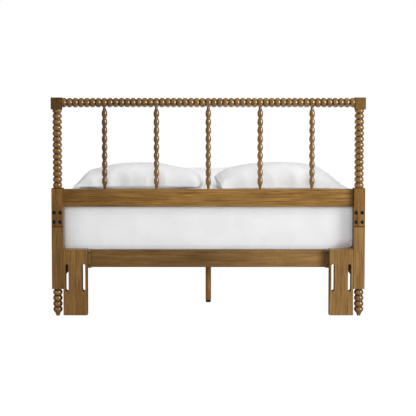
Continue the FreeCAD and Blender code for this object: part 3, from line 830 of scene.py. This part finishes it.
print(centre_leg_count, "centre legs with their glides")


# %% Foot glides
def repeated(points, sides, places):
    """One tube at several places: its points moved to each of them, and its faces counted on."""
    moved = points[None, :, :] + np.array(places)[:, None, :]
    starts = range(0, moved.shape[0] * moved.shape[1], len(points))
    faces = [face for start in starts for face in tube_faces(len(points) // sides, sides, start)]
    return moved.reshape(-1, 3), faces


foot_glide_half = 0.0096
foot_glide_ease = 0.0030
foot_glide_sides = 32
foot_glide_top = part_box("foot_glides")[1][2]
along, radius = eased_bottom(foot_glide_half, foot_glide_ease)
along = np.concatenate([along, [foot_glide_top]])
radius = np.concatenate([radius, [foot_glide_half]])
foot_places = [
    (x + math.copysign(out, x), y, 0)
    for _, x in sides_x
    for y, out in ((head_y, foot_out), (foot_y, 0.0))
]
points, _ = revolve(along, radius, (0, 0, 0), "Z", foot_glide_sides)
points, faces = repeated(points, foot_glide_sides, foot_places)
pads = make_piece("round_foot_glides", points, faces, glide_plastic, "frame")
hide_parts("foot_glides")
print(len(foot_places), "foot glides")

# %% [markdown]
# ## Bolts
# Four bolts hold each lap joint. A bolt's head is a low dome, a cap of a ball, that stands a little
# out of the post, with a six-sided socket in it. The bolt is a profile turned about its axis, whose
# innermost rings follow a hexagon instead of a circle.


# %% Bolts
bolt_proud = 0.0038
bolt_head_half = 0.0102
bolt_neck_half = 0.0076
bolt_neck_length = 0.0065
bolt_shank_half = 0.004
bolt_shank_length = 0.050
bolt_sides = 48
dome_rings = 12
dome_start_share = 1.25
socket_half = 0.0028
socket_depth = 0.0026
socket_middle_share = 0.05


def hexagon(angle):
    """The distance from the middle to a hexagon's side, as a share of the middle-to-side distance."""
    sector = np.pi / 3
    return 1 / np.cos((angle + sector / 2) % sector - sector / 2)


def socket_bolt():
    """Points of a domed head towards -Y with its socket, then of a neck and a shank to +Y."""
    angle = np.linspace(0, 2 * np.pi, bolt_sides, endpoint=False)
    socket = socket_half * hexagon(angle)
    ball = (bolt_head_half**2 + bolt_proud**2) / (2 * bolt_proud)
    spread = np.linspace(dome_start_share * socket_half, bolt_head_half, dome_rings)
    fall = ball - np.sqrt(ball**2 - spread**2)
    rings = [(socket_depth, socket_middle_share * socket), (socket_depth, socket), (fall[0], socket)]
    rings += list(zip(fall, spread))
    neck_end = bolt_proud + bolt_neck_length
    shank_end = neck_end + bolt_shank_length
    rings += [(bolt_proud, bolt_neck_half), (neck_end, bolt_neck_half)]
    rings += [(neck_end, bolt_shank_half), (shank_end, bolt_shank_half)]
    depth = np.array([ring[0] for ring in rings])[:, None]
    reach = np.array([np.broadcast_to(ring[1], bolt_sides) for ring in rings])
    surface = np.broadcast_arrays(reach * np.cos(angle), depth, -reach * np.sin(angle))
    return np.stack(surface, axis=-1).reshape(-1, 3)


bolt_spacing_x = 0.031
bolt_spacing_z = 0.050
lap_middle = 0.526
bolt_places = [
    (x + across * bolt_spacing_x / 2, post_low[1] - bolt_proud, lap_middle + up * bolt_spacing_z / 2)
    for _, x in sides_x
    for across in (-1, 1)
    for up in (-1, 1)
]
points, faces = repeated(socket_bolt(), bolt_sides, bolt_places)
bolts = make_piece("socket_bolts", points, faces, black_steel, "frame")
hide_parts("lap_bolts")
print(len(bolt_places), "bolts")

# %% [markdown]
# ## White cloth
# The ticking of the mattress is a soft knit and the pillow covers are a plain weave. Both use the
# piece's own UV map, in metres, so that the threads follow the cloth over its curves. A little
# sheen lifts the edges, as fine fibres do.


# %% Cloth finishes
slub_share = 0.955


def cloth_finish(name, colour, thread, relief, sheen, rough):
    """Two crossing waves on the UV map for the threads, and a slow noise for the tone."""
    finish = Finish(name)
    uv = finish.add("ShaderNodeTexCoord").outputs["UV"]
    weave = finish.math("ADD", *finish.waves(uv, thread, Distortion=0.4, Detail=1.0))
    slub = finish.noise(finish.place(), scale=9, detail=3)
    finish.set(
        Base_Color=finish.mix(finish.span(slub, *noise_span), scaled(colour, slub_share), colour),
        Roughness=rough,
        Sheen_Weight=sheen,
        Sheen_Roughness=0.5,
        Normal=finish.bump(weave, distance=relief, strength=0.35),
    )
    return finish.material


def set_uv(piece, places):
    """Gives every corner of every face the UV place of its point."""
    corners = np.empty(len(piece.data.loops), np.int64)
    piece.data.loops.foreach_get("vertex_index", corners)
    layer = piece.data.uv_layers.new(name="cloth")
    layer.data.foreach_set("uv", places[corners].astype(np.float32).ravel())


knit = dict(thread=0.0022, relief=0.0003, rough=0.9)
ticking = cloth_finish("mattress_ticking", (0.80, 0.80, 0.81), sheen=0.15, **knit)
# Painted light: the panel is whiter than the border, standing in for the light on the mattress's top.
painted_light_panel = cloth_finish("mattress_panel", (0.92, 0.92, 0.92), sheen=1.0, **knit)
cotton = cloth_finish("pillow_cotton", (0.72, 0.72, 0.72), 0.0010, relief=0.0002, sheen=0.20, rough=0.85)
print("cloth finishes", ticking.name, painted_light_panel.name, cotton.name)

# %% [markdown]
# ## Mattress
# A mattress is a firm block: a border that bulges a little over a rolled lower edge, and a quilted
# panel with a low crown above a piped seam. It keeps its form, so no simulation is needed: it is one
# profile carried round a rounded rectangle. Each ring point is a share of the straight sides plus a
# corner arc, so every ring comes from two numbers, its inset and its height.


# %% Ring helpers
sharpest_corner = 0.002
pipe_turn = 0.45 * np.pi


def ring_shares(side_x, side_y, corner):
    """Round one ring: shares of the two straight half-sides, and the angle of the corner arc."""
    x_run = np.linspace(-1, 1, side_x, endpoint=False)
    y_run = np.linspace(-1, 1, side_y, endpoint=False)
    arc = np.linspace(0, np.pi / 2, corner, endpoint=False)
    one_x, one_y, one_c = np.ones(side_x), np.ones(side_y), np.ones(corner)
    share_x = np.concatenate([one_y, one_c, -x_run, -one_c, -one_y, -one_c, x_run, one_c])
    share_y = np.concatenate([y_run, one_c, one_x, one_c, -y_run, -one_c, -one_x, -one_c])
    sides = enumerate((one_y, one_x, one_y, one_x))
    turn = [quarter * np.pi / 2 + part for quarter, side in sides for part in (0 * side, arc)]
    return share_x, share_y, np.concatenate(turn)


def carried_round(inset, height, half_x, half_y, corner, shares):
    """Points of a profile of insets and heights carried round a rectangle with elliptic corners."""
    share_x, share_y, turn = shares
    round_x, round_y = (np.maximum(reach - inset, sharpest_corner)[:, None] for reach in corner)
    x = share_x * (half_x - inset[:, None] - round_x) + round_x * np.cos(turn)
    y = share_y * (half_y - inset[:, None] - round_y) + round_y * np.sin(turn)
    return np.stack([x, y, np.repeat(height[:, None], len(turn), 1)], axis=-1)


def piping(inset, height, half):
    """Most of half a circle that stands out of the edge, from below to above."""
    angle = np.linspace(-pipe_turn, pipe_turn, 9)
    return inset - half * np.cos(angle), height + half * np.sin(angle)


# %% Mattress profile
bed_low, bed_high = (np.array(corner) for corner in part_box("mattress"))
half_x, half_y = bed_high[0], bed_high[1]
border = 0.305
crown = bed_high[2] - bed_low[2] - border
crown_reach = 0.045
wall_bulge = 0.008
bulge_power = 0.30
roll_half = 0.008
pipe_half = 0.0055
pipe_inset = 0.0095
pipe_drop = 0.004
seam_gap = 0.001
middle_gap = 0.004
panel_edge = 0.012
panel_rim = 0.06
panel_start = 0.07
panel_step = 0.011
share = np.linspace(0, 1, 41)
roll = np.linspace(0, np.pi / 2, 8)
roll_inset = 2 * roll_half - roll_half * np.sin(roll)
roll_height = roll_half * (1 - np.cos(roll))
pipe_insets, pipe_heights = piping(pipe_inset, border - pipe_drop, pipe_half)
wall_inset = wall_bulge - wall_bulge * np.clip(np.sin(np.pi * share), 0, 1) ** bulge_power
wall_rise = pipe_heights[0] - roll_height[-1] - 2 * seam_gap
wall_height = roll_height[-1] + seam_gap + wall_rise * share
base_inset = np.array([half_x - middle_gap, 0.5, 0.3, 0.12, 0.05, 0.022])
panel_inset = np.concatenate(
    [np.linspace(panel_edge, panel_rim, 9), np.arange(panel_start, half_x - middle_gap, panel_step)]
)
panel_height = border + crown * (1 - np.exp(-(panel_inset - panel_edge) / crown_reach))
inset = np.concatenate([base_inset, roll_inset, wall_inset, pipe_insets, panel_inset])
height = np.concatenate([0 * base_inset, roll_height, wall_height, pipe_heights, panel_height])
print("mattress profile of", len(inset), "places")

# %% [markdown]
# The quilting is sunk into the panel along two sets of diagonal lines, deepest on the line and
# fading beside it. Towards the two long sides the crown and the seam sink a little, as a slept-on
# edge does. The lower right corner at the head is tucked in, because it shows there as a shadow.

# %% Mattress surface
corner_rounds = (0.13, 0.036)
quilt_pitch = 0.17
quilt_depth = 0.0045
quilt_width = 0.016
quilt_start = 0.05
quilt_fade = 0.03
crown_fade = 0.07
seam_sink = 0.010
seam_fade = 0.05
sink_start = 0.20
tuck_depth = 0.055
tuck_width = 0.090
tuck_length = 0.160
tuck_height = 0.060
shares = ring_shares(side_x=150, side_y=200, corner=14)
points = carried_round(inset, height, half_x, half_y, corner_rounds, shares)
x, y, z = np.moveaxis(points, -1, 0)
lines = np.stack([x + y, x - y]) / quilt_pitch
from_line = (np.abs(lines - np.round(lines)) * quilt_pitch).min(axis=0)
on_panel = np.clip((inset - quilt_start) / quilt_fade, 0, 1) * (height > border)
z -= on_panel[:, None] * quilt_depth * np.exp(-((from_line / quilt_width) ** 2))
from_side = np.maximum(half_x - np.abs(x) - panel_edge, 0)
z -= np.maximum(z - border, 0) * np.exp(-from_side / crown_fade)
z -= seam_sink * np.exp(-from_side / seam_fade) * np.clip((z - sink_start) / (border - sink_start), 0, 1)
from_corner = (half_x - x) / tuck_width + (y + half_y) / tuck_length
tucked = np.exp(-(from_corner**2)) * np.clip(1 - z / tuck_height, 0, 1) ** 2
y += tuck_depth * tucked
z += bed_low[2]
print("mattress tucked by", round(float(tucked.max() * tuck_depth), 4), "m")

# %% Mattress
uv_turn = 0.03
rings, columns = points.shape[:2]
faces = tube_faces(rings, columns)
mattress = make_piece("sewn_mattress", points, faces, ticking, "mattress")
mattress.data.materials.append(painted_light_panel)
first_panel_face = (rings - len(panel_inset)) * columns
on_panel = np.arange(len(faces)) >= first_panel_face
mattress.data.polygons.foreach_set("material_index", on_panel.astype(np.int32))
run = np.concatenate([[0], np.cumsum(np.hypot(np.diff(inset), np.diff(height)))])
around = np.linspace(0, 4 * (half_x + half_y), columns)
wall_uv = np.stack(np.broadcast_arrays(around[None, :], run[:, None]), axis=-1).reshape(-1, 2)
flat_uv = points.reshape(-1, 3)[:, :2]
is_flat = np.repeat(inset > uv_turn, columns)
set_uv(mattress, np.where(is_flat[:, None], flat_uv, wall_uv))
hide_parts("mattress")
print("mattress", rings, "rings of", columns, "points")

# %% [markdown]
# ## Pillows
# A pillow is a flat bag of two panels sewn along their edges and stuffed. Cloth simulation makes it
# that way: two flat grids share their border, air pressure swells them, and the edges draw in and
# pucker between the corners.


# %% Pillow bag
start_dome = 0.012
arch_power = 2.6


def bag(cut_x, cut_y, count_x, count_y):
    """Two flat grids that share their border: points, faces, and the point numbers of both grids."""
    u = np.linspace(-0.5, 0.5, count_x)
    v = np.linspace(-0.5, 0.5, count_y)
    across, along = np.meshgrid(u * cut_x, v * cut_y, indexing="xy")
    dome = start_dome * np.cos(np.pi * across / cut_x) * np.cos(np.pi * along / cut_y)
    upper = np.stack([across, along, dome], axis=-1).reshape(-1, 3)
    above = np.arange(count_x * count_y).reshape(count_y, count_x)
    inner = np.zeros_like(above, bool)
    inner[1:-1, 1:-1] = True
    lower = upper[inner.ravel()] * (1, 1, -1)
    below = above.copy()
    below[inner] = len(upper) + np.arange(inner.sum())
    quads = [
        np.stack([grid[:-1, :-1], grid[:-1, 1:], grid[1:, 1:], grid[1:, :-1]], axis=-1).reshape(-1, 4)
        for grid in (above, below)
    ]
    faces = np.concatenate([quads[0], quads[1][:, ::-1]])
    return np.concatenate([upper, lower]), faces, above, below


def arch(share):
    """What is under the root of a rounded arch: 1 in the middle, 0 at a share of 1 to either side."""
    return np.clip(1 - np.abs(share) ** arch_power, 0, 1)


def lens(points, cut_x, cut_y):
    """The plain form of a filled bag as a share of its rise: the root of two arches' product."""
    return np.sqrt(arch(2 * points[:, 0] / cut_x) * arch(2 * points[:, 1] / cut_y))


# %% Swelling
def swell(points, faces, pressure, frames):
    """Cloth simulation of the bag under pressure with no gravity; gives the points of its last frame."""
    mesh = bpy.data.meshes.new("bag")
    mesh.from_pydata(points.tolist(), [], faces.tolist())
    trial = bpy.data.objects.new("bag", mesh)
    scene.collection.objects.link(trial)
    cloth = trial.modifiers.new("cloth", "CLOTH")
    settings = cloth.settings
    settings.quality = 6
    settings.mass = 0.3
    settings.tension_stiffness = 4
    settings.compression_stiffness = 4
    settings.shear_stiffness = 2
    settings.bending_stiffness = 4.0
    settings.air_damping = 2.0
    settings.use_pressure = True
    settings.uniform_pressure_force = pressure
    settings.effector_weights.gravity = 0
    cloth.point_cache.frame_start = 1
    cloth.point_cache.frame_end = frames
    for step in range(1, frames + 1):
        scene.frame_set(step)
    found = trial.evaluated_get(bpy.context.evaluated_depsgraph_get()).data
    swollen = np.empty(len(points) * 3, np.float32)
    found.vertices.foreach_get("co", swollen)
    bpy.data.objects.remove(trial)
    bpy.data.meshes.remove(mesh)
    scene.frame_set(1)
    return swollen.reshape(-1, 3).astype(float)


def relaxed(grid, rounds):
    """Each inner point of a grid moves to the mean of its four neighbours, a few times over."""
    for _ in range(rounds):
        grid[1:-1, 1:-1] = (grid[:-2, 1:-1] + grid[2:, 1:-1] + grid[1:-1, :-2] + grid[1:-1, 2:]) / 4
    return grid


def fitted(points, room):
    """Points moved and stretched in plan until they fill a room about the origin, and to a rise of one."""
    middle = (points.max(axis=0) + points.min(axis=0)) / 2
    return (points - middle) / np.ptp(points, axis=0) * (room[0], room[1], 2.0)


# %% [markdown]
# The left pillow has its fullest part towards the outside and a soft slope to the middle of the
# bed; the right one is the other way round. A few heights along each pillow, as shares of its
# length and rise, say so. The cover of a filled pillow is drawn smooth, so only a small share of
# the simulated folds is kept over the plain form. Then the bag is set down: its belly is pressed
# flat on the mattress, and its two ends are lifted and pushed until its outline is right.

# %% Pillow values
bag_cut = (0.80, 0.56)
bag_count = (61, 43)
folds_share = 0.035
draw_share = 0.45
hem_share = 0.58
belly_steepness = 4
seam_wave_share = 0.1
seam_wave = 0.001
inner_reach_share = 0.12
plan_reach_share = 0.30
end_round = 0.014
outline_shares = {
    "left": (
        (0.0, 0.03, 0.103, 0.176, 0.263, 0.364, 0.50, 0.66, 0.75, 0.867, 0.914, 0.953, 0.977, 0.992, 1.0),
        (0.03, 0.17, 0.585, 0.71, 0.84, 0.925, 0.955, 0.92, 0.81, 0.665, 0.595, 0.50, 0.40, 0.27, 0.08),
    ),
    "right": (
        (0.0, 0.006, 0.034, 0.063, 0.10, 0.16, 0.233, 0.35, 0.52, 0.688, 0.771, 0.853, 0.931, 1.0),
        (0.02, 0.07, 0.34, 0.52, 0.69, 0.79, 0.88, 0.95, 0.975, 0.905, 0.806, 0.529, 0.214, 0.02),
    ),
}
outer_draw = {"left": 0.028, "right": 0.0}
outer_push = {"left": -0.016, "right": 0.0}
outer_lift = {"left": 0.003, "right": 0.0}
seam_lift = {"left": 0.016, "right": 0.007}
inner_lift = {"left": 0.0, "right": 0.050}
inner_push = {"left": 0.020, "right": -0.029}
corner_draw = {"left": -0.050, "right": 0.060}
print("pillow bags are cut", bag_cut, "m")


# %% Pillow form
def filled_form(side, room, points, faces, above, below):
    """The bag's plan and rise: the plain form times the outline, plus a share of the folds."""
    lift = seam_lift[side]
    plain_form = lens(points, *bag_cut)
    flat = fitted(points, room)
    folds = np.zeros_like(plain_form)
    swollen = flat
    swollen = fitted(swell(points, faces, pressure=3.0, frames=20), room)
    folds[above] = relaxed(swollen[above], rounds=5)[..., 2] - plain_form[above]
    share_x = np.clip(flat[:, 0] / room[0] + 0.5, 0, 1)
    across = 2 * flat[:, 1] / room[1]
    form = eased(share_x, *outline_shares[side]) * np.sqrt(arch(across))
    placed = (flat + draw_share * (swollen - flat)) * (1, 1, 0)
    belly = np.clip((plain_form[below] - hem_share) / (1 - hem_share), 0, 1)
    placed[below, 2] = -lift * np.tanh(belly_steepness * belly) / np.tanh(belly_steepness)
    placed[above, 2] = (room[2] - lift) * (form + folds_share * folds * form)[above]
    seam = np.intersect1d(above, below)
    placed[seam, 2] = np.clip(seam_wave_share * swollen[seam, 2], -seam_wave, seam_wave)
    return placed, share_x, across


def set_ends(side, placed, room, share_x, across, below):
    """Lifts and pushes the inner and the outer end, each by the square of the nearness to that end."""
    inward = share_x if side == "right" else 1 - share_x
    raised = inner_lift[side] * np.clip(1 - inward / inner_reach_share, 0, 1) ** 2 * np.sqrt(arch(across))
    fall = np.clip(1 - inward[below] * room[0] / end_round, 0, 1)
    raised[below] *= 1 - np.sqrt(1 - fall**2)
    near_inner = np.clip(1 - inward / plan_reach_share, 0, 1) ** 2
    near_outer = np.clip(1 - (1 - inward) / plan_reach_share, 0, 1) ** 2
    placed[:, 2] += raised
    placed[:, 0] += near_inner * (inner_push[side] + corner_draw[side] * across**2)
    placed[:, 0] += near_outer * outer_push[side] * (1 - across**2)
    placed[:, 2] += near_outer**2 * outer_lift[side]


# %% [markdown]
# The finished surface is smoothed by a Subdivision modifier. A crease along the seam keeps the two
# panels' border a thin edge.


# %% Pillows
def crease_seam(pillow, above, below):
    """Marks each edge whose two points both lie on the shared border of the two grids."""
    on_seam = np.zeros(len(pillow.data.vertices), bool)
    on_seam[np.intersect1d(above, below)] = True
    ends = np.empty(2 * len(pillow.data.edges), np.int64)
    pillow.data.edges.foreach_get("vertices", ends)
    crease = pillow.data.attributes.new("crease_edge", "FLOAT", "EDGE")
    crease.data.foreach_set("value", on_seam[ends.reshape(-1, 2)].all(axis=1).astype(np.float32))


for side in ("left", "right"):
    node = "pillow_" + side
    low, high = (np.array(corner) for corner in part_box(node))
    low[0] += outer_draw[side]
    room = high - low
    points, faces, above, below = bag(*bag_cut, *bag_count)
    placed, share_x, across = filled_form(side, room, points, faces, above, below)
    set_ends(side, placed, room, share_x, across, below)
    placed += ((low[0] + high[0]) / 2, (low[1] + high[1]) / 2, low[2] + seam_lift[side])
    pillow = make_piece("filled_" + node, placed, faces.tolist(), cotton, node)
    set_uv(pillow, points[:, :2])
    crease_seam(pillow, above, below)
    softer = pillow.modifiers.new("softer", "SUBSURF")
    softer.levels = softer.render_levels = 2
    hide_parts(node)
    print(node, "rises", round(float(np.ptp(placed[:, 2])), 3))
